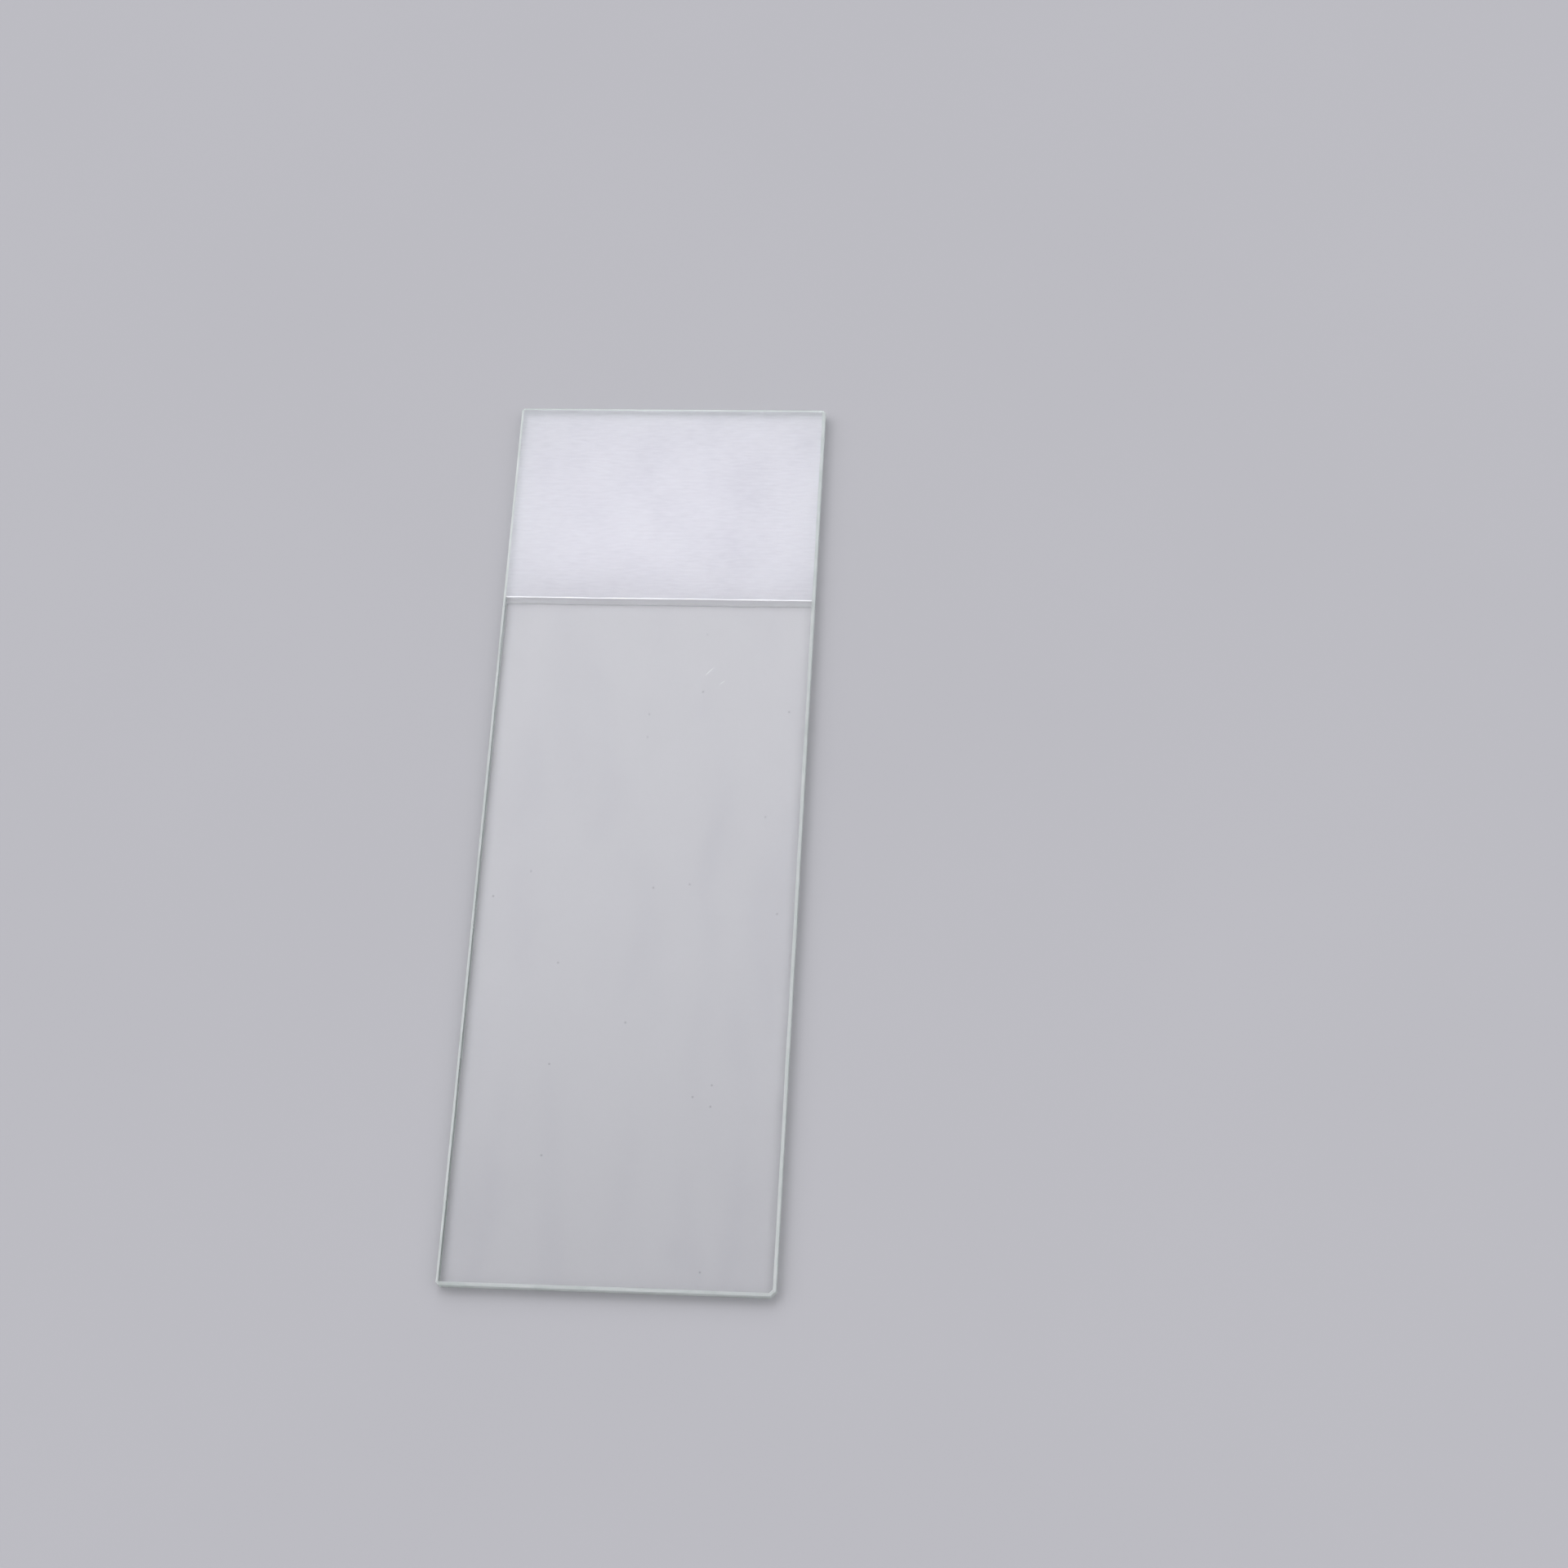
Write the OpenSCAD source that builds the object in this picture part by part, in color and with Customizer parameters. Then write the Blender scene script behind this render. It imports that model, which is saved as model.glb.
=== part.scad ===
// Microscope slide with a frosted end: one plate of clear glass with ground
// edges. It lies flat with its underside on z = 0 and its middle over the
// origin. Length runs along Y with the frosted end at +Y, width along X.

/* [Plate] */
// Length of the slide, from end to end
slide_length = 76; // [60:0.5:90]
// Width of the slide, from side to side
slide_width = 26; // [20:0.5:40]
// Thickness of the glass
glass_thickness = 1.1; // [0.9:0.05:1.5]

/* [Ground edges] */
// Reach of the 45 degree arris along the long sides, on both faces
side_arris = 0.2; // [0.1:0.05:0.35]
// Reach of the 45 degree arris across the two ends, on both faces
end_arris = 0.2; // [0.1:0.05:0.35]
// Reach of the 45 degree arris round the nipped corners, on both faces
nip_arris = 0.2; // [0.1:0.05:0.35]

/* [Corners] */
// Leg of the nip that takes the point off three of the corners
corner_nip = 0.2; // [0.1:0.05:1.5]
// Leg of the nip on the fourth corner, right of the clear end, which is larger
worn_corner_nip = 0.4; // [0.1:0.05:1.5]

/* [Frosted end] */
// Length of the frosted band on the upper face
upper_frost_length = 18; // [10:0.5:30]
// Length of the frosted band on the underside, a shade longer than the upper
lower_frost_length = 18.25; // [10:0.25:30]
// Depth of glass that the frosting takes off each face
frost_depth = 0.02; // [0.01:0.01:0.05]

/* [Hidden] */

// How far each cutting shape runs on past the glass
overrun = 1;
half_length = slide_length / 2;
half_width = slide_width / 2;
clear_end = -half_length;
frosted_end = half_length;

// Outline seen from above, anticlockwise, with two points at each corner.
// Edges 0, 2, 4 and 6 are the sides and ends; the odd ones are the nips.
outline = [
    [-half_width + corner_nip, clear_end],
    [half_width - worn_corner_nip, clear_end],
    [half_width, clear_end + worn_corner_nip],
    [half_width, frosted_end - corner_nip],
    [half_width - corner_nip, frosted_end],
    [-half_width + corner_nip, frosted_end],
    [-half_width, frosted_end - corner_nip],
    [-half_width, clear_end + corner_nip]
];
edge_arris = [
    end_arris, nip_arris, side_arris, nip_arris,
    end_arris, nip_arris, side_arris, nip_arris
];

// The sawn blank: the outline at the full thickness of the glass
module blank() {
    linear_extrude(glass_thickness)
        polygon(outline);
}

// What the grinding wheel takes off one edge of the underside: a triangular
// bar whose long face leans at 45 degrees, run out past both ends of the edge
module arris_grind(start, finish, reach) {
    run = finish - start;
    translate([start.x, start.y, 0])
        rotate([0, 0, atan2(run.y, run.x)])
            translate([-overrun, 0, 0])
                rotate([90, 0, 90])
                    linear_extrude(norm(run) + 2 * overrun)
                        polygon([
                            [reach + overrun, -overrun],
                            [-overrun, -overrun],
                            [-overrun, reach + overrun]
                        ]);
}

// The arris all round the underside, one grind for each edge of the outline
module arris_round() {
    corners = len(outline);
    for (i = [0 : corners - 1])
        arris_grind(outline[i], outline[(i + 1) % corners], edge_arris[i]);
}

// The layer of glass lost under a frosted band on the underside
module frost_grind(band_length) {
    translate([-half_width - overrun, frosted_end - band_length, -overrun])
        cube([slide_width + 2 * overrun, band_length + overrun, frost_depth + overrun]);
}

// Turns what is cut from the underside into the same cut from the upper face
module on_upper_face() {
    translate([0, 0, glass_thickness])
        mirror([0, 0, 1])
            children();
}

module slide() {
    color([0.82, 0.89, 0.87, 0.6])
        difference() {
            blank();
            arris_round();
            on_upper_face() arris_round();
            frost_grind(lower_frost_length);
            on_upper_face() frost_grind(upper_frost_length);
        }
}

slide();
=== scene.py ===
# %% [markdown]
# # A microscope slide, frosted at one end
#
# This notebook dresses one plate of laboratory glass. The plate comes in as a
# plain solid of the right size. The lesson is in what makes glass read as
# glass: ground edges that scatter light, a frosted band with a crisp limit,
# polished faces that are almost invisible, and soft light to mirror in them.

# %% Load the solid
import math

import bmesh
import bpy
from mathutils import Matrix, Vector, noise


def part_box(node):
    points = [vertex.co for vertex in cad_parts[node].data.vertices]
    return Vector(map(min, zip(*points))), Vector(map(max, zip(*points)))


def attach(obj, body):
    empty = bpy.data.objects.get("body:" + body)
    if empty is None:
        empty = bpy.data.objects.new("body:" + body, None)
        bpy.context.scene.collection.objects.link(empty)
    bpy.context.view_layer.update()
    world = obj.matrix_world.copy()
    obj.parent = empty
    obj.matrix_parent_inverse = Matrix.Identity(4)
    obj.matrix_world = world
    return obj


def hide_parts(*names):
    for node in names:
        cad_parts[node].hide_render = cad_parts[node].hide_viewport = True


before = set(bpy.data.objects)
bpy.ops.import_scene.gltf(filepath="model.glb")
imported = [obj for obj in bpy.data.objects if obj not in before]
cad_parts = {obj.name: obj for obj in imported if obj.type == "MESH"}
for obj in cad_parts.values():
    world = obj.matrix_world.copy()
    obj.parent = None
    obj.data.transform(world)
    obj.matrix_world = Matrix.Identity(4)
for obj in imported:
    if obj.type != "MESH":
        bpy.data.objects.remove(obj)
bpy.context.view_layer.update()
slide_low, slide_high = (Vector(corner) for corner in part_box("slide"))
slide_size = slide_high - slide_low
slide_middle = (slide_low + slide_high) / 2
MM = 0.001
print("slide, mm:", [round(side / MM, 3) for side in slide_size])

# %% [markdown]
# ## The sawn blank
#
# A slide is cut from a sheet of drawn glass, so it starts as a thin block. A
# cube scaled to the measured box is the shortest way there. The points of the
# four corners are then ground off. A bevel of each upright edge does that,
# and the corner right of the clear end gets a larger one, as it is worn.

# %% Blank with nipped corners
CORNER_NIP = 0.2 * MM
WORN_CORNER_NIP = 0.4 * MM


def bevel(bm, edges, offset):
    """Cuts a flat along each edge, with its offset measured on the faces beside it."""
    bmesh.ops.bevel(
        bm,
        geom=edges,
        offset=offset,
        offset_type="OFFSET",
        affect="EDGES",
        segments=1,
        profile=0.5,
        material=-1,
        clamp_overlap=False,
    )


def sawn_blank():
    """The block of glass with the points of its corners taken off."""
    bm = bmesh.new()
    bmesh.ops.create_cube(bm, size=1.0)
    bmesh.ops.scale(bm, vec=slide_size, verts=bm.verts)
    bmesh.ops.translate(bm, vec=slide_middle, verts=bm.verts)
    upright = [e for e in bm.edges if abs(e.verts[0].co.z - e.verts[1].co.z) > slide_size.z / 2]
    worn = [e for e in upright if e.verts[0].co.x > 0 > e.verts[0].co.y]
    sound = [e for e in upright if e not in worn]
    bevel(bm, sound, CORNER_NIP)
    bevel(bm, worn, WORN_CORNER_NIP)
    return bm


plate = sawn_blank()
print("blank:", len(plate.faces), "faces")

# %% [markdown]
# ## Ground arrises
#
# A sawn edge would cut a finger, so a wheel runs round both faces and leaves
# a narrow flat at 45 degrees, called an arris. A section could be swept round
# each face, but a bevel of its outline turns at the corners by itself.

# %% Arris round both faces
ARRIS = 0.2 * MM
HAIR = 0.001 * MM


def lies_on(z, *verts):
    """True if all these vertices lie at height z."""
    return all(abs(v.co.z - z) < HAIR for v in verts)


def on_either_face(*verts):
    """True if all these vertices lie on the upper face, or all on the lower one."""
    return lies_on(slide_high.z, *verts) or lies_on(slide_low.z, *verts)


bevel(plate, [e for e in plate.edges if on_either_face(*e.verts)], ARRIS)
print("with arrises:", len(plate.faces), "faces")

# %% [markdown]
# ## Cutting up the faces
#
# The block has large faces with nothing in between, and no noise can bend
# what has no vertices. Subdividing would follow the odd corner faces, so the
# mesh is sliced by upright planes instead, like a cake, every half
# millimetre. The slices cross at right angles, and the faces stay flat.

# %% Slices across the plate
GRID_STEP = 0.5 * MM


def cut_across(bm, place, direction, faces=None):
    """Cuts the mesh, or some of its faces, by a plane square to a direction."""
    chosen = bm.faces[:] if faces is None else faces
    # The keys of a dict keep their order, and a set's would change from run to run
    edges = list(dict.fromkeys(e for f in chosen for e in f.edges))
    verts = list(dict.fromkeys(v for f in chosen for v in f.verts))
    bmesh.ops.bisect_plane(
        bm, geom=verts + edges + chosen, dist=HAIR, plane_co=place, plane_no=direction
    )


def slice_up(bm, axis, low, high):
    """Cuts the mesh in slices of about GRID_STEP between two places on an axis."""
    count = round((high - low) / GRID_STEP)
    direction = Vector((0, 0, 0))
    direction[axis] = 1
    for i in range(1, count):
        place = Vector((0, 0, 0))
        place[axis] = low + (high - low) * i / count
        cut_across(bm, place, direction)


slice_up(plate, 0, slide_low.x, slide_high.x)
slice_up(plate, 1, slide_low.y, slide_high.y)
print("sliced:", len(plate.faces), "faces")

# %% [markdown]
# ## Uneven arrises
#
# The wheel bites a little more here and less there, so an arris is nowhere
# quite the same width. Its inner border lies on the polished face, and a slow
# noise draws each vertex of that border inwards by up to a few hundredths of
# a millimetre. Nothing moves outwards, so the plate keeps its size.

# %% Wander of the arris borders
ARRIS_WANDER = 0.05 * MM
WANDER_LENGTH = 5 * MM


def drift(place, size):
    """A number from 0 to 1 that changes slowly from place to place."""
    return 0.5 + 0.5 * noise.noise(place / size)


def shift_inwards(v, by):
    """Moves a vertex on the border of an arris towards the middle of the plate."""
    to_border_x = slide_high.x - ARRIS - abs(v.co.x)
    to_border_y = slide_high.y - ARRIS - abs(v.co.y)
    if to_border_x < HAIR:
        v.co.x -= math.copysign(by, v.co.x)
    if to_border_y < HAIR:
        v.co.y -= math.copysign(by, v.co.y)


polished = [v for v in plate.verts if on_either_face(v)]
for v in polished:
    shift_inwards(v, ARRIS_WANDER * drift(v.co, WANDER_LENGTH))
from_side = [slide_high.x - abs(v.co.x) for v in polished]
widths = [round(width / MM, 3) for width in from_side if width < ARRIS + ARRIS_WANDER + HAIR]
print("arris along the sides, mm:", min(widths), "to", max(widths))

# %% [markdown]
# ## Frosted band
#
# One end of the slide is ground matt on both faces, so that a pencil marks
# it. Grinding takes off a few hundredths of a millimetre, and that tiny step
# marks the band's limit. The fine pale line along it comes partly from the
# slope of the step, and partly from a brighter skin painted on that slope as
# a highlight. Two cuts across a face, close together, give the step a foot
# and a top. The limit is never quite straight, so the slow noise carries both
# cuts to and fro. A quicker one carries the inner cut alone, which makes the
# slope wider here and narrower there. The two faces were ground apart. The
# band below reaches a little further than the one above, and its limit waves
# more.

# %% Step at the limit of the frosting
UPPER_FROST = 18.0 * MM
LOWER_FROST = 18.25 * MM
FROST_DEPTH = 0.02 * MM
STEP_RUN = 0.1 * MM
UPPER_WANDER = 0.06 * MM
LOWER_WANDER = 0.2 * MM
SLOPE_WANDER = 0.08 * MM
SLOPE_WANDER_LENGTH = WANDER_LENGTH / 3


def face_at(bm, z):
    """The flat faces of the mesh that lie at height z."""
    return [f for f in bm.faces if lies_on(z, *f.verts)]


def frost(bm, height, length, wander, into):
    """Grinds the frosted part of one face. Into the glass is up (1) or down (-1)."""
    limit = slide_high.y - length
    for run in (0, STEP_RUN):
        cut_across(bm, Vector((0, limit + run, 0)), Vector((0, 1, 0)), face_at(bm, height))
    for v in [v for v in bm.verts if lies_on(height, v)]:
        beyond = v.co.y - limit
        if -HAIR < beyond < STEP_RUN + HAIR:
            v.co.y += wander * (drift(v.co, WANDER_LENGTH) - 0.5)
        if abs(beyond - STEP_RUN) < HAIR:
            v.co.y += SLOPE_WANDER * (drift(v.co, SLOPE_WANDER_LENGTH) - 0.5)
        if beyond > STEP_RUN - HAIR:
            v.co.z += into * FROST_DEPTH


frost(plate, slide_high.z, UPPER_FROST, UPPER_WANDER, -1)
frost(plate, slide_low.z, LOWER_FROST, LOWER_WANDER, 1)
print("frosted:", len(plate.faces), "faces")

# %% [markdown]
# ## Scratches
#
# Two short scratches and a nick lie close together on the upper face, where
# the plate has rubbed on another. A bump could draw them, but a real groove
# shows from every side. Four cuts outline each one, a fifth runs down its
# middle, and the middle is let down a little.

# %% Three marks on the upper face
SCRATCH_WIDTH = 0.04 * MM
SCRATCH_DEPTH = 0.008 * MM
# Place of each on the plate, its length, and its turn from X in degrees
SCRATCHES = (
    (Vector((4.7, 13.5, 0)) * MM, 0.75 * MM, 48),
    (Vector((5.8, 12.5, 0)) * MM, 0.50 * MM, 40),
    (Vector((5.6, 14.3, 0)) * MM, 0.20 * MM, 75),
)


def directions(turn):
    """The way along a scratch, and the way across it."""
    angle = math.radians(turn)
    return (
        Vector((math.cos(angle), math.sin(angle), 0)),
        Vector((-math.sin(angle), math.cos(angle), 0)),
    )


def inside_scratch(place, scratch, margin):
    """True if a place lies within a scratch, widened by a margin."""
    middle, length, turn = scratch
    along, across = directions(turn)
    offset = place - middle
    near_length = abs(offset.dot(along)) < length / 2 + margin
    return near_length and abs(offset.dot(across)) < SCRATCH_WIDTH / 2 + margin


def score(bm, scratch):
    """Cuts the outline and the middle line of a scratch, and lets the line down."""
    middle, length, turn = scratch
    along, across = directions(turn)
    planes = [(along * (side * length / 2), along) for side in (-1, 1)]
    planes += [(across * (side * SCRATCH_WIDTH / 2), across) for side in (-1, 0, 1)]
    for offset, direction in planes:
        near = [
            f
            for f in face_at(bm, slide_high.z)
            if inside_scratch(f.calc_center_median(), scratch, GRID_STEP)
        ]
        cut_across(bm, middle + offset, direction, near)
    for v in bm.verts:
        on_line = abs((v.co - middle).dot(across)) < HAIR and inside_scratch(v.co, scratch, -HAIR)
        if on_line and lies_on(slide_high.z, v):
            v.co.z -= SCRATCH_DEPTH


for scratch in SCRATCHES:
    score(plate, scratch)
print("scratched:", len(plate.faces), "faces")

# %% [markdown]
# ## Names for the finishes
#
# The polished faces, the frosted ones and the ground edges are one piece of
# glass with several skins. Each face gets the number of its skin, which is
# the place of a material in the object's list. The scratches are as rough as
# the edges. The lower face gets a frosting painted brighter than the upper
# one, as painted light, for a reason given below. The slope of the upper step
# gets that brighter frosting too, which paints a fine pale highlight along
# the limit.

# %% Skins
SKINS = range(4)
CLEAR, FROSTED, FROSTED_PAINTED_BRIGHT, GROUND = SKINS
# A face is steep if the upward part of its normal is less than this
STEEP = 0.93


def skin_of(face):
    """Which finish a face has, from the way it faces and how high it lies."""
    middle = face.calc_center_median()
    scored = any(inside_scratch(middle, scratch, 0) for scratch in SCRATCHES)
    if abs(face.normal.z) < STEEP or (scored and face.normal.z > 0):
        return GROUND
    if on_either_face(*face.verts):
        return CLEAR
    # The lower frosting and the slopes of both steps get the copy of the frosting painted brighter:
    # on the lower face it makes up for shade, on the upper slope it paints a pale highlight.
    return FROSTED if lies_on(slide_high.z - FROST_DEPTH, *face.verts) else FROSTED_PAINTED_BRIGHT


plate.normal_update()
for face in plate.faces:
    face.material_index = skin_of(face)
print("faces of each skin:", [sum(f.material_index == n for f in plate.faces) for n in SKINS])

# %% [markdown]
# ## The finished plate
#
# A bmesh is only a workbench. It could be written back to the plain solid,
# but a mesh and an object of its own leave that solid as it came. The place
# of the plate is in its vertices, so the object stays at the origin. It rides
# on the one body there is, and stands in for the plain solid. The operators
# above leave the faces in an order that changes from run to run, so the faces
# are first put in the order of their places.

# %% Object
in_order = sorted(plate.faces, key=lambda face: tuple(face.calc_center_median()))
for number, face in enumerate(in_order):
    face.index = number
plate.faces.sort()
slide_mesh = bpy.data.meshes.new("slide_plate")
plate.to_mesh(slide_mesh)
plate.free()
slide_plate = bpy.data.objects.new("slide_plate", slide_mesh)
bpy.context.collection.objects.link(slide_plate)
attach(slide_plate, "root")
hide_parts("slide")
print(slide_plate.name, "has", len(slide_mesh.polygons), "faces")

# %% [markdown]
# ## Helpers for nodes
#
# Node code gets long, because every node, link and number needs a line. Two
# helpers shorten it. One feeds a socket, with a link or with a plain value,
# and one adds a node and feeds its inputs. On top of them stand short words
# for the nodes used most: a noise, a stretch, a sum and a ramp.

# %% Node helpers


def feed(tree, socket, value):
    """Links an output to an input socket, or sets the socket to a plain value."""
    if isinstance(value, bpy.types.NodeSocket):
        tree.links.new(value, socket)
    else:
        socket.default_value = value


def add_node(tree, kind, inputs, **settings):
    """Adds a node, sets it up and feeds its inputs, given by name or by number."""
    node = tree.nodes.new(kind)
    for name, value in settings.items():
        setattr(node, name, value)
    for key, value in inputs.items():
        feed(tree, node.inputs[key], value)
    return node


def cloud(tree, place, scale, detail, swirl=0.0):
    """A soft noise from 0 to 1, with so many humps to the metre."""
    inputs = {"Vector": place, "Scale": scale, "Detail": detail, "Distortion": swirl}
    return add_node(tree, "ShaderNodeTexNoise", inputs).outputs["Fac"]


def stretch(tree, place, by):
    """A place with each of its parts multiplied, so that a pattern on it is drawn out."""
    inputs = {0: place, 1: by}
    return add_node(tree, "ShaderNodeVectorMath", inputs, operation="MULTIPLY").outputs["Vector"]


def calculate(tree, operation, first, second):
    """A number worked out from two others."""
    inputs = {0: first, 1: second}
    return add_node(tree, "ShaderNodeMath", inputs, operation=operation).outputs["Value"]


def ramp(tree, value, start, end, low=0.0, high=1.0, curve="LINEAR"):
    """Goes from low to high as the value goes from start to end, and stays level beyond."""
    inputs = {"Value": value, "From Min": start, "From Max": end, "To Min": low, "To Max": high}
    return add_node(tree, "ShaderNodeMapRange", inputs, interpolation_type=curve).outputs["Result"]


print("helpers:", [helper.__name__ for helper in (feed, add_node, cloud, stretch, calculate, ramp)])

# %% [markdown]
# ## Marks of grinding
#
# The frosted faces and the ground edges were both rubbed down with grit, so
# one node group serves both. Grit leaves pits as fine as dust, strokes along
# its path, and patches where it cut deeper. Three noises make them. The
# strokes are a noise on a stretched vector, and the stretch is an input,
# because the wheel ran along the edges but the band was rubbed crosswise.
# Strokes and pits add up to a height, and strokes and patches to a tone. The
# sum of two noises seldom strays far from 1, so the ramp for the tone covers
# only the stretch around it.

# %% Grinding group
NUMBER = "NodeSocketFloat"
VECTOR = "NodeSocketVector"
TONE_START = 0.7
TONE_END = 1.3


def new_group(name, inputs, outputs):
    """An empty node group with named sockets, and the nodes at its two ends."""
    tree = bpy.data.node_groups.new(name, "ShaderNodeTree")
    for title, kind in inputs.items():
        tree.interface.new_socket(title, in_out="INPUT", socket_type=kind)
    for title, kind in outputs.items():
        tree.interface.new_socket(title, in_out="OUTPUT", socket_type=kind)
    return tree, tree.nodes.new("NodeGroupInput").outputs, tree.nodes.new("NodeGroupOutput").inputs


def grinding_group():
    """Pits, strokes and patches, as a height and as a tone from 0 to 1."""
    tree, given, result = new_group(
        "grinding",
        {"Vector": VECTOR, "Stroke": VECTOR, "Pits": NUMBER, "Patches": NUMBER},
        {"Height": NUMBER, "Tone": NUMBER},
    )
    place = given["Vector"]
    strokes = cloud(tree, stretch(tree, place, given["Stroke"]), 1.0, detail=3.0)
    pits = cloud(tree, place, given["Pits"], detail=1.0)
    patches = cloud(tree, place, given["Patches"], detail=2.0)
    feed(tree, result["Height"], calculate(tree, "ADD", strokes, pits))
    both = calculate(tree, "ADD", strokes, patches)
    feed(tree, result["Tone"], ramp(tree, both, TONE_START, TONE_END))
    return tree


grinding = grinding_group()
print("group:", grinding.name, "of", len(grinding.nodes), "nodes")

# %% [markdown]
# ## Marks of handling
#
# No slide is perfectly clean. Wiping leaves faint long smears, and specks of
# dust settle. A stretched noise, raised so that only its peaks are left, is
# the smears. Cells of a Voronoi pattern, each with a dot in its middle, are
# the specks, and a random number for each cell lets only a few through.

# %% Handling group
SMEAR_START = 0.45
SMEAR_END = 0.75
WIPE_SWIRL = 0.6
# How far from the middle of its cell a speck starts, and how far it is dense
SPECK_RIM = 0.08
SPECK_CORE = 0.04


def handling_group():
    """Smears and specks of dust, both as masks from 0 to 1."""
    tree, given, result = new_group(
        "handling",
        {"Vector": VECTOR, "Wipe": VECTOR, "Speck Cells": NUMBER, "Speck Share": NUMBER},
        {"Smear": NUMBER, "Speck": NUMBER},
    )
    place = given["Vector"]
    film = cloud(tree, stretch(tree, place, given["Wipe"]), 1.0, detail=4.0, swirl=WIPE_SWIRL)
    feed(tree, result["Smear"], ramp(tree, film, SMEAR_START, SMEAR_END, curve="SMOOTHSTEP"))
    inputs = {"Vector": place, "Scale": given["Speck Cells"]}
    cells = add_node(tree, "ShaderNodeTexVoronoi", inputs, voronoi_dimensions="2D").outputs
    lot = add_node(tree, "ShaderNodeSeparateColor", {"Color": cells["Color"]}).outputs["Red"]
    drawn = calculate(tree, "LESS_THAN", lot, given["Speck Share"])
    dot = ramp(tree, cells["Distance"], SPECK_RIM, SPECK_CORE)
    feed(tree, result["Speck"], calculate(tree, "MULTIPLY", dot, drawn))
    return tree


handling = handling_group()
print("group:", handling.name, "of", len(handling.nodes), "nodes")

# %% [markdown]
# ## Glass, before its finishes
#
# All the skins enclose the same glass. Its index of refraction is that of
# soda-lime glass, and an absorbing volume takes a trace of red out of light
# on its way through. Nothing shows of it across a millimetre. Along the plate
# it adds up, which is why the edges of a slide look faintly green.

# %% What the skins share
GLASS_IOR = 1.52
TINT_COLOUR = (0.4, 0.9, 0.7, 1.0)
TINT_DENSITY = 6.0


def new_material(name):
    """A material, its node tree, its Principled shader and the place on the piece."""
    material = bpy.data.materials.new(name)
    material.use_nodes = True
    tree = material.node_tree
    place = tree.nodes.new("ShaderNodeTexCoord").outputs["Object"]
    return material, tree, tree.nodes["Principled BSDF"], place


def new_glass(name, transmission):
    """The next skin of the slide: its node tree, its shader and the place on the plate."""
    material, tree, shader, place = new_material(name)
    shader.inputs["IOR"].default_value = GLASS_IOR
    shader.inputs["Transmission Weight"].default_value = transmission
    tint = {"Color": TINT_COLOUR, "Density": TINT_DENSITY}
    volume = add_node(tree, "ShaderNodeVolumeAbsorption", tint)
    feed(tree, tree.nodes["Material Output"].inputs["Volume"], volume.outputs["Volume"])
    slide_mesh.materials.append(material)
    return tree, shader, place


red_loss = TINT_DENSITY * (1 - TINT_COLOUR[0])
paths = (slide_size.z, slide_size.y)
print("red left, through and along:", [round(math.exp(-red_loss * path), 3) for path in paths])

# %% [markdown]
# ## Clear glass
#
# Drawn glass is flat to a few thousandths of a millimetre, and the eye finds
# that last waviness in its reflections. A broad noise with a very small depth
# is enough. Smears dull the polish and take a little light, and specks of
# dust take more of it. Dust is kept to the upper face. On both faces, the
# same speck would be mirrored to and fro between them and show as a row of
# dots.

# %% Clear glass
CLEAR_THROUGH = 1.0
CLEAN = (0.995, 0.995, 0.995, 1.0)
SMEARED = (0.97, 0.97, 0.975, 1.0)
DUSTY = (0.62, 0.62, 0.64, 1.0)
WIPE_LENGTHWISE = (260.0, 70.0, 0.0)
SMEAR_ROUGHNESS = 0.06
SPECKS = {"Speck Cells": 700.0, "Speck Share": 0.03}
WAVES = 90.0
WAVE_DEPTH = 0.002 * MM


def use_group(tree, group, inputs):
    """Places a node group in a material and feeds it."""
    return add_node(tree, "ShaderNodeGroup", inputs, node_tree=group).outputs


def mix_colours(tree, mask, first, second):
    """A colour that goes from the first to the second as the mask goes from 0 to 1."""
    inputs = {"Factor": mask, "A": first, "B": second}
    return add_node(tree, "ShaderNodeMix", inputs, data_type="RGBA").outputs["Result"]


def add_bump(tree, shader, height, depth):
    """Tilts the shading as a relief would, with the depth of one unit of height."""
    bump = add_node(tree, "ShaderNodeBump", {"Height": height, "Distance": depth, "Strength": 1.0})
    feed(tree, shader.inputs["Normal"], bump.outputs["Normal"])


tree, shader, place = new_glass("clear_glass", CLEAR_THROUGH)
marks = use_group(tree, handling, {"Vector": place, "Wipe": WIPE_LENGTHWISE, **SPECKS})
height = add_node(tree, "ShaderNodeSeparateXYZ", {"Vector": place}).outputs["Z"]
on_top = calculate(tree, "GREATER_THAN", height, slide_middle.z)
dust = calculate(tree, "MULTIPLY", marks["Speck"], on_top)
wiped = mix_colours(tree, marks["Smear"], CLEAN, SMEARED)
feed(tree, shader.inputs["Base Color"], mix_colours(tree, dust, wiped, DUSTY))
feed(tree, shader.inputs["Roughness"], ramp(tree, marks["Smear"], 0.0, 1.0, high=SMEAR_ROUGHNESS))
add_bump(tree, shader, cloud(tree, place, WAVES, detail=1.0), WAVE_DEPTH)
print("clear glass:", len(tree.nodes), "nodes")

# %% [markdown]
# ## Frosted glass
#
# A ground face sends light every way, both back and through. A rough glass
# shader alone sends too little back and looks grey. So a share of the surface
# is left opaque and white, and the rest is rough glass. What lies below shows
# through as a soft glow. The strokes run across the band.
#
# The lower face is seen through the plate, from inside. More than half of the
# light that a white surface scatters inside glass is caught there by the
# faces, so the same finish would look far darker below than above. Its skin
# is whiter and more opaque to make up for that. One function makes the pair.

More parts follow.
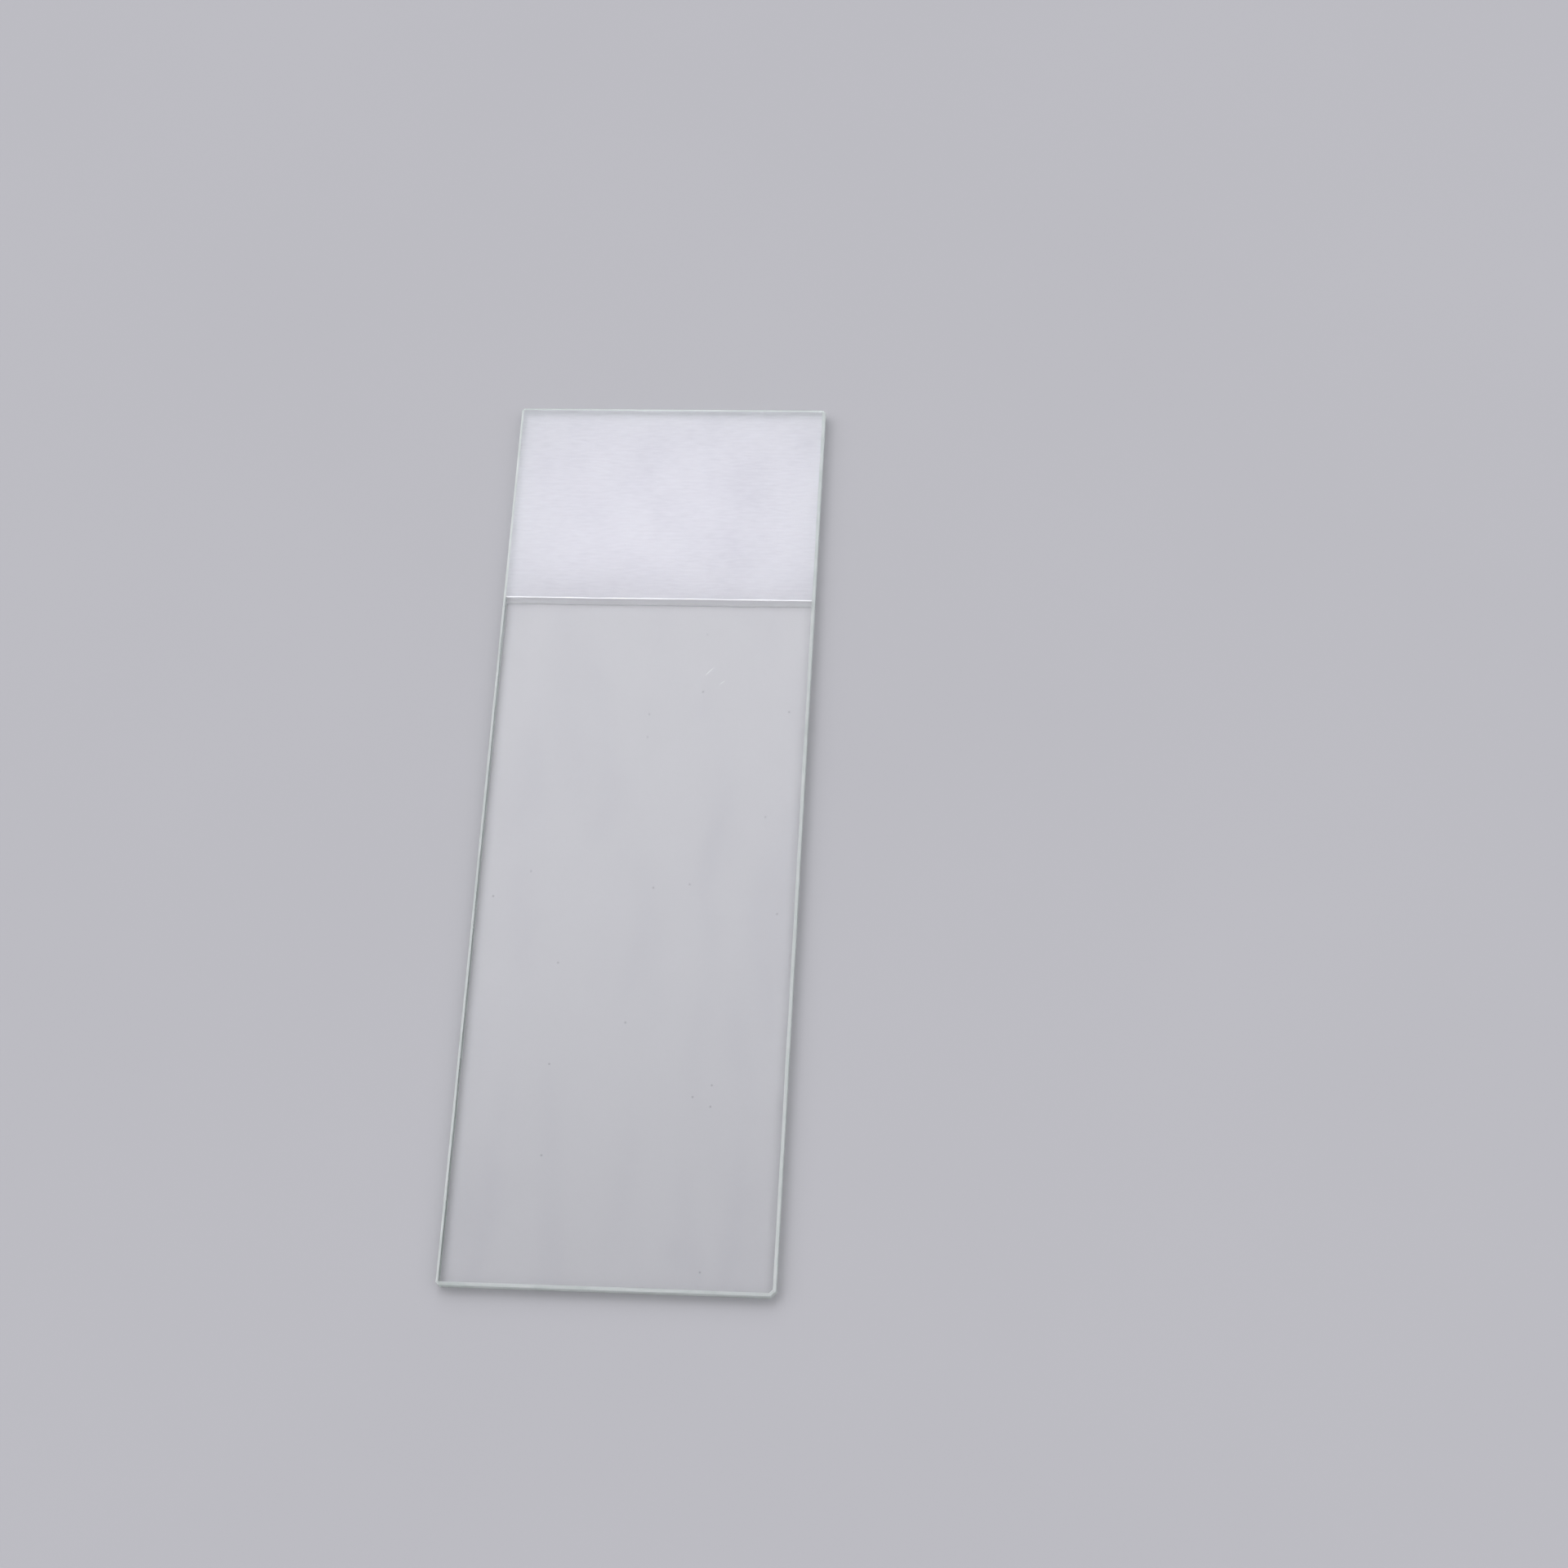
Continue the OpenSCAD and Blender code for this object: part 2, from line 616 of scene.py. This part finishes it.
# %% Frosted glass
FROSTED_THROUGH = 0.75
FROSTED_PALE = (0.97, 0.965, 1.0, 1.0)
FROSTED_DULL = (0.84, 0.835, 0.875, 1.0)
# A copy of the frosting painted whiter and more opaque: painted light that makes up for shade
# inside the glass, and a painted highlight on the slope of the upper step.
PAINTED_BRIGHT_THROUGH = 0.1
PAINTED_BRIGHT_PALE = (1.0, 0.995, 1.0, 1.0)
PAINTED_BRIGHT_DULL = (0.96, 0.955, 0.975, 1.0)
CROSSWISE = (900.0, 5000.0, 0.0)
FINE_GRIT = {"Stroke": CROSSWISE, "Pits": 14000.0, "Patches": 250.0}
FINE_ROUGHNESS = (0.42, 0.62)
FINE_RELIEF = 0.007 * MM
FINE = (FINE_GRIT, FINE_ROUGHNESS, FINE_RELIEF)


def rubbed_glass(name, transmission, dull, pale, grit, roughness, relief):
    """The next skin, rubbed matt with some grit, between a dull and a pale tone."""
    tree, shader, place = new_glass(name, transmission)
    marks = use_group(tree, grinding, {"Vector": place, **grit})
    feed(tree, shader.inputs["Base Color"], mix_colours(tree, marks["Tone"], dull, pale))
    feed(tree, shader.inputs["Roughness"], ramp(tree, marks["Tone"], 0.0, 1.0, *roughness))
    add_bump(tree, shader, marks["Height"], relief)
    print(name, "lets through:", transmission)


rubbed_glass("frosted_glass", FROSTED_THROUGH, FROSTED_DULL, FROSTED_PALE, *FINE)
# This copy is painted brighter, as painted light on the lower face and a painted highlight on the
# upper step's slope.
rubbed_glass("frosted_painted_bright", PAINTED_BRIGHT_THROUGH, PAINTED_BRIGHT_DULL, PAINTED_BRIGHT_PALE, *FINE)

# %% [markdown]
# ## Ground edges
#
# The edges were ground with coarser grit than the band, and the glass behind
# them is deep and green. So they are less white than the frosting, and a
# little rougher. The wheel ran lengthwise, so the strokes are stretched both
# along X and along Y, and are fine only in height. That suits the sides and
# the ends alike.

# %% Ground edges
EDGE_THROUGH = 0.5
EDGE_PALE = (0.93, 0.97, 0.94, 1.0)
EDGE_DULL = (0.76, 0.83, 0.785, 1.0)
LENGTHWISE = (400.0, 400.0, 9000.0)
COARSE_GRIT = {"Stroke": LENGTHWISE, "Pits": 9000.0, "Patches": 700.0}
COARSE_ROUGHNESS = (0.5, 0.7)
COARSE_RELIEF = 0.02 * MM
COARSE = (COARSE_GRIT, COARSE_ROUGHNESS, COARSE_RELIEF)

rubbed_glass("ground_glass", EDGE_THROUGH, EDGE_DULL, EDGE_PALE, *COARSE)
print("materials:", [material.name for material in slide_mesh.materials])

# %% [markdown]
# ## Floor
#
# Glass shows only what is behind it, so the floor is a part of its look. A
# pale grey leaves room above it for the frosting and the bright edges. The
# plate rests on the floor with a hair of air below, because two surfaces in
# one place would flicker.

# %% Floor
AIR_GAP = 0.03 * MM
FLOOR_SIZE = 20.0
FLOOR_PALE = (0.485, 0.485, 0.50, 1.0)
FLOOR_DULL = (0.465, 0.465, 0.48, 1.0)
FLOOR_CLOUDS = 30.0
FLOOR_ROUGHNESS = 0.8
FLOOR_GLOSS = 0.2

floor_mesh = bpy.data.meshes.new("floor")
bm = bmesh.new()
bmesh.ops.create_grid(bm, x_segments=1, y_segments=1, size=FLOOR_SIZE / 2)
bmesh.ops.translate(bm, vec=(0, 0, slide_low.z - AIR_GAP), verts=bm.verts)
bm.to_mesh(floor_mesh)
bm.free()
floor = bpy.data.objects.new("floor", floor_mesh)
bpy.context.collection.objects.link(floor)
floor_paint, tree, shader, place = new_material("floor_paint")
clouds = cloud(tree, place, FLOOR_CLOUDS, detail=3.0)
feed(tree, shader.inputs["Base Color"], mix_colours(tree, clouds, FLOOR_DULL, FLOOR_PALE))
shader.inputs["Roughness"].default_value = FLOOR_ROUGHNESS
shader.inputs["Specular IOR Level"].default_value = FLOOR_GLOSS
floor_mesh.materials.append(floor_paint)
print("floor at, mm:", round((slide_low.z - AIR_GAP) / MM, 3))

# %% [markdown]
# ## Camera
#
# The camera looks down on the plate from over its clear end, a little to the
# right, and leans to one side. Three angles and a distance say that. The turn
# and the rise give the line of sight, and the roll turns the camera on it.

# %% Camera
LENS = 70.8
CAMERA_AZIMUTH = 14.3
CAMERA_ELEVATION = 66.8
CAMERA_ROLL = 12.1
CAMERA_REACH = 247.8 * MM
CAMERA_NEAREST = 10 * MM
AIM = Vector((11.37 * MM, 3.66 * MM, slide_high.z))


def from_angles(azimuth, elevation):
    """A unit vector that points back from a thing to whoever looks at it."""
    turn, rise = math.radians(azimuth), math.radians(elevation)
    return Vector(
        (math.sin(turn) * math.cos(rise), -math.cos(turn) * math.cos(rise), math.sin(rise))
    )


camera_data = bpy.data.cameras.new("camera")
camera_data.lens = LENS
camera_data.clip_start = CAMERA_NEAREST
camera_data.clip_end = 2 * FLOOR_SIZE
camera = bpy.data.objects.new("camera", camera_data)
bpy.context.collection.objects.link(camera)
back = from_angles(CAMERA_AZIMUTH, CAMERA_ELEVATION)
level = (-back).to_track_quat("-Z", "Y").to_matrix().to_4x4()
roll = Matrix.Rotation(math.radians(-CAMERA_ROLL), 4, "Z")
camera.matrix_world = Matrix.Translation(AIM + back * CAMERA_REACH) @ level @ roll
bpy.context.scene.camera = camera
print("camera height, mm:", round(camera.matrix_world.translation.z / MM, 1))

# %% [markdown]
# ## Bounces of light
#
# Light crosses this plate many times before it comes out at an edge. The
# usual number of bounces cuts such paths short and leaves the glass dingy, so
# the limits go up. The blur on glossy paths is switched off for the same
# reason: it would turn clear glass into a dull one under soft light. The
# Standard view shows a colour about as it is written.

# %% Bounces
GLASS_BOUNCES = 16
MIRROR_BOUNCES = 12
MATT_BOUNCES = 6

scene = bpy.context.scene
scene.view_settings.view_transform = "Standard"
scene.cycles.blur_glossy = 0.0
scene.cycles.max_bounces = GLASS_BOUNCES
scene.cycles.transmission_bounces = GLASS_BOUNCES
scene.cycles.glossy_bounces = MIRROR_BOUNCES
scene.cycles.diffuse_bounces = MATT_BOUNCES
print("bounces:", scene.cycles.max_bounces)

# %% [markdown]
# ## Light
#
# The light is a pale room with three bright sides. The strongest lies behind
# the plate. The far part of the polished face mirrors it and the near part
# doesn't, and the slow change from one to the other shows that there is
# glass. A side on the left and a weaker one on the right add direction, so
# that both long edges are lit. Lamps could do that too, but a lamp has an
# outline, and the glass would mirror it as a hard white patch. Each side is a
# part of the world instead, and fades out at its border.

# %% Pale room with three bright sides
ROOM_STRENGTH = 0.54
ROOM_COLOUR = (0.96, 0.955, 1.0, 1.0)
# A side shines in full within acos(FULL) of its middle, and ends at acos(END)
FULL, END = 0.98, 0.84
# Where each side lies, and what it adds to the room
BRIGHT_SIDES = (
    (Vector((-0.18, 0.68, 0.71)), 1.86),
    (Vector((-0.75, 0.2, 0.8)), 1.75),
    (Vector((0.8, 0.1, 0.9)), 0.9),
)

world = bpy.data.worlds.new("studio")
scene.world = world
world.use_nodes = True
tree = world.node_tree
direction = tree.nodes.new("ShaderNodeTexCoord").outputs["Generated"]
glow = ROOM_STRENGTH
for towards, strength in BRIGHT_SIDES:
    facing = add_node(
        tree,
        "ShaderNodeVectorMath",
        {0: direction, 1: towards.normalized()},
        operation="DOT_PRODUCT",
    ).outputs["Value"]
    side = ramp(tree, facing, END, FULL, high=strength, curve="SMOOTHSTEP")
    glow = calculate(tree, "ADD", glow, side)
background = tree.nodes["Background"]
background.inputs["Color"].default_value = ROOM_COLOUR
feed(tree, background.inputs["Strength"], glow)
print("room:", ROOM_STRENGTH, "and sides:", [strength for _, strength in BRIGHT_SIDES])
